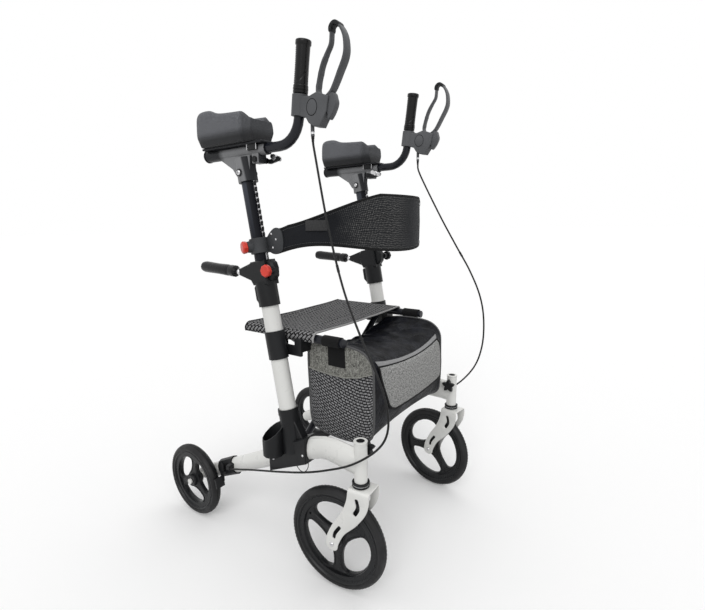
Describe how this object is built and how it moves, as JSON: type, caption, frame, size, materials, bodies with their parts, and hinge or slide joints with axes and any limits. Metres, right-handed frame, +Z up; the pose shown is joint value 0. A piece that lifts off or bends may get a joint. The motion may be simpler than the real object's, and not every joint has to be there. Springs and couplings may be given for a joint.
{
  "type": "forearm rollator",
  "caption": "Folding walking frame with wheels, height-adjustable forearm rests, upright grips with loop brake levers, a mesh seat, a padded backrest band and a shopping bag.",
  "frame": {"origin": "on the floor under the middle of the walker's bounding box, with the walker open and the arms low", "axes": "+Z up, -Y towards the front, where the caster wheels are, and -X towards the user's right"},
  "size_m": [0.618, 0.8009, 1.271],
  "materials": {
    "white_paint": "white powder coat, satin",
    "black_plastic": "black moulded nylon",
    "grey_plastic": "charcoal moulded nylon, fine grain",
    "red_plastic": "red moulded plastic",
    "black_paint": "black powder coat, satin",
    "bright_steel": "zinc-plated steel",
    "pad_foam": "skinned polyurethane foam, fine grain",
    "black_rubber": "ribbed black rubber grip",
    "tyre": "solid black tyre",
    "mesh_fabric": "black spacer mesh with bound edges",
    "grey_melange": "grey melange cloth, black nylon and ribbed mesh",
    "cable_skin": "black cable sleeve"
  },
  "bodies": {
    "right_side": {"side_frame_R": "white_paint", "post_R": "white_paint", "frame_joint_R": "black_plastic", "seat_bracket_R": "black_plastic", "height_clamp_R": "black_plastic", "side_handle_R": "black_rubber", "rear_bracket_R": "black_plastic"},
    "right_height_knob": {"height_knob_R": "red_plastic"},
    "right_star_knob": {"star_knob_R": "black_plastic"},
    "right_rear_brake": {"rear_brake_R": "bright_steel"},
    "right_rear_wheel": {"rear_rim_R": "black_plastic", "rear_tyre_R": "tyre"},
    "right_caster": {"caster_fork_R": "white_paint"},
    "right_front_wheel": {"front_rim_R": "black_plastic", "front_tyre_R": "tyre"},
    "right_arm": {"height_tube_R": "black_paint", "arm_bracket_R": "grey_plastic", "arm_pad_R": "pad_foam", "brake_cable_R": "cable_skin"},
    "right_bar_clamp": {"bar_clamp_R": "bright_steel"},
    "right_backrest_ring": {"backrest_clamp_R": "black_plastic", "backrest_band": "mesh_fabric"},
    "right_backrest_knob": {"backrest_knob_R": "red_plastic"},
    "right_handle": {"handle_bar_R": "black_paint", "hand_grip_R": "black_rubber", "brake_housing_R": "grey_plastic"},
    "right_brake_lever": {"brake_lever_R": "grey_plastic"},
    "left_side": {"side_frame_L": "white_paint", "post_L": "white_paint", "frame_joint_L": "black_plastic", "seat_bracket_L": "black_plastic", "height_clamp_L": "black_plastic", "side_handle_L": "black_rubber", "rear_bracket_L": "black_plastic"},
    "left_height_knob": {"height_knob_L": "red_plastic"},
    "left_star_knob": {"star_knob_L": "black_plastic"},
    "left_rear_brake": {"rear_brake_L": "bright_steel"},
    "left_rear_wheel": {"rear_rim_L": "black_plastic", "rear_tyre_L": "tyre"},
    "left_caster": {"caster_fork_L": "white_paint"},
    "left_front_wheel": {"front_rim_L": "black_plastic", "front_tyre_L": "tyre"},
    "left_arm": {"height_tube_L": "black_paint", "arm_bracket_L": "grey_plastic", "arm_pad_L": "pad_foam", "brake_cable_L": "cable_skin"},
    "left_bar_clamp": {"bar_clamp_L": "bright_steel"},
    "left_backrest_ring": {"backrest_clamp_L": "black_plastic"},
    "left_backrest_knob": {"backrest_knob_L": "red_plastic"},
    "left_handle": {"handle_bar_L": "black_paint", "hand_grip_L": "black_rubber", "brake_housing_L": "grey_plastic"},
    "left_brake_lever": {"brake_lever_L": "grey_plastic"},
    "brace_right_to_left": {"strut_right_to_left": "black_paint", "brace_pivot_pin": "bright_steel"},
    "brace_left_to_right": {"strut_left_to_right": "black_paint"},
    "left_rail": {"seat_rail_L": "black_paint"},
    "right_rail": {"seat_rail_R": "black_paint", "seat": "mesh_fabric", "bag": "grey_melange"}
  },
  "joints": [
    {"name": "right_caster_swivel", "type": "hinge", "parent": "right_side", "child": "right_caster", "pos_m": [-0.259, -0.31043, 0.3015], "axis": [0, 0, 1], "continuous": true},
    {"name": "right_front_wheel_roll", "type": "hinge", "parent": "right_caster", "child": "right_front_wheel", "pos_m": [-0.26452, -0.24466, 0.131], "axis": [0.9965, 0.0837, 0], "continuous": true},
    {"name": "right_rear_wheel_roll", "type": "hinge", "parent": "right_side", "child": "right_rear_wheel", "pos_m": [-0.287, 0.29057, 0.11], "axis": [1, 0, 0], "continuous": true},
    {"name": "right_height_slide", "type": "slide", "parent": "right_side", "child": "right_arm", "axis": [0, 0.1754, 0.9845], "range_m": [0, 0.125], "deforming": ["brake_cable_R"]},
    {"name": "right_handle_slide", "type": "slide", "parent": "right_arm", "child": "right_handle", "axis": [0, -1, 0], "range_m": [0, 0.08]},
    {"name": "right_brake_squeeze", "type": "hinge", "parent": "right_handle", "child": "right_brake_lever", "pos_m": [-0.246, -0.19943, 1.124], "axis": [-1, 0, 0], "range_deg": [0, 14], "stiffness_Nm_per_rad": 4, "springref_deg": -6.88},
    {"name": "right_rear_brake_swing", "type": "hinge", "parent": "right_side", "child": "right_rear_brake", "pos_m": [-0.2705, 0.17657, 0.164], "axis": [1, 0, 0], "range_deg": [0, 7]},
    {"name": "right_bar_clamp_turn", "type": "hinge", "parent": "right_arm", "child": "right_bar_clamp", "pos_m": [-0.246, -0.01743, 1.0305], "axis": [1, 0, 0], "range_deg": [0, 100]},
    {"name": "right_backrest_slide", "type": "slide", "parent": "right_arm", "child": "right_backrest_ring", "axis": [0, 0.1754, 0.9845], "range_m": [0, 0.11]},
    {"name": "right_backrest_knob_turn", "type": "hinge", "parent": "right_backrest_ring", "child": "right_backrest_knob", "pos_m": [-0.27618, 0.01015, 0.8243], "axis": [-0.9063, 0.4161, -0.0741], "range_deg": [0, 540]},
    {"name": "right_height_knob_turn", "type": "hinge", "parent": "right_side", "child": "right_height_knob", "pos_m": [-0.2733, -0.05646, 0.77015], "axis": [-1, 0, 0], "range_deg": [0, 540]},
    {"name": "right_star_knob_turn", "type": "hinge", "parent": "right_side", "child": "right_star_knob", "pos_m": [-0.2435, -0.31043, 0.372], "axis": [1, 0, 0], "range_deg": [0, 540]},
    {"name": "left_caster_swivel", "type": "hinge", "parent": "left_side", "child": "left_caster", "pos_m": [0.259, -0.31043, 0.3015], "axis": [0, 0, 1], "continuous": true},
    {"name": "left_front_wheel_roll", "type": "hinge", "parent": "left_caster", "child": "left_front_wheel", "pos_m": [0.26853, -0.24512, 0.131], "axis": [0.9895, -0.1444, 0], "continuous": true},
    {"name": "left_rear_wheel_roll", "type": "hinge", "parent": "left_side", "child": "left_rear_wheel", "pos_m": [0.287, 0.29057, 0.11], "axis": [1, 0, 0], "continuous": true},
    {"name": "left_height_slide", "type": "slide", "parent": "left_side", "child": "left_arm", "axis": [0, 0.1754, 0.9845], "range_m": [0, 0.125], "deforming": ["brake_cable_L"]},
    {"name": "left_handle_slide", "type": "slide", "parent": "left_arm", "child": "left_handle", "axis": [0, -1, 0], "range_m": [0, 0.08]},
    {"name": "left_brake_squeeze", "type": "hinge", "parent": "left_handle", "child": "left_brake_lever", "pos_m": [0.246, -0.19943, 1.124], "axis": [-1, 0, 0], "range_deg": [0, 14], "stiffness_Nm_per_rad": 4, "springref_deg": -6.88},
    {"name": "left_rear_brake_swing", "type": "hinge", "parent": "left_side", "child": "left_rear_brake", "pos_m": [0.2705, 0.17657, 0.164], "axis": [1, 0, 0], "range_deg": [0, 7]},
    {"name": "left_bar_clamp_turn", "type": "hinge", "parent": "left_arm", "child": "left_bar_clamp", "pos_m": [0.246, -0.01743, 1.0305], "axis": [1, 0, 0], "range_deg": [0, 100]},
    {"name": "left_backrest_slide", "type": "slide", "parent": "left_arm", "child": "left_backrest_ring", "axis": [0, 0.1754, 0.9845], "range_m": [0, 0.11]},
    {"name": "left_backrest_knob_turn", "type": "hinge", "parent": "left_backrest_ring", "child": "left_backrest_knob", "pos_m": [0.27618, 0.01015, 0.8243], "axis": [0.9063, 0.4161, -0.0741], "range_deg": [0, 540]},
    {"name": "left_height_knob_turn", "type": "hinge", "parent": "left_side", "child": "left_height_knob", "pos_m": [0.2733, -0.05646, 0.77015], "axis": [1, 0, 0], "range_deg": [0, 540]},
    {"name": "left_star_knob_turn", "type": "hinge", "parent": "left_side", "child": "left_star_knob", "pos_m": [0.2435, -0.31043, 0.372], "axis": [-1, 0, 0], "range_deg": [0, 540]},
    {"name": "fold", "type": "hinge", "parent": "right_side", "child": "brace_right_to_left", "pos_m": [-0.202, -0.07543, 0.291], "axis": [0, -1, 0], "range_deg": [0, 44.4], "deforming": ["seat", "bag", "backrest_band"]},
    {"name": "brace_cross", "type": "hinge", "parent": "brace_right_to_left", "child": "brace_left_to_right", "pos_m": [0, -0.06193, 0.4445], "axis": [0, -1, 0], "range_deg": [-89.3, 0.5]},
    {"name": "left_side_hinge", "type": "hinge", "parent": "brace_left_to_right", "child": "left_side", "pos_m": [0.202, -0.04843, 0.291], "axis": [0, -1, 0], "range_deg": [-0.5, 44.9]},
    {"name": "left_rail_hinge", "type": "hinge", "parent": "brace_right_to_left", "child": "left_rail", "pos_m": [0.202, -0.07543, 0.598], "axis": [0, -1, 0], "range_deg": [-44.9, 0.5]},
    {"name": "right_rail_hinge", "type": "hinge", "parent": "brace_left_to_right", "child": "right_rail", "pos_m": [-0.202, -0.04843, 0.598], "axis": [0, -1, 0], "range_deg": [-0.5, 44.9]}
  ],
  "couplings": [
    {"joint": "right_rear_brake_swing", "follows": "right_brake_squeeze", "ratio": 0.5},
    {"joint": "left_rear_brake_swing", "follows": "left_brake_squeeze", "ratio": 0.5},
    {"joint": "left_height_slide", "follows": "right_height_slide", "ratio": 1},
    {"joint": "left_backrest_slide", "follows": "right_backrest_slide", "ratio": 1},
    {"joint": "brace_cross", "follows": "fold", "ratio": -2},
    {"joint": "left_side_hinge", "follows": "fold", "ratio": 1},
    {"joint": "left_rail_hinge", "follows": "fold", "ratio": -1},
    {"joint": "right_rail_hinge", "follows": "fold", "ratio": 1}
  ]
}
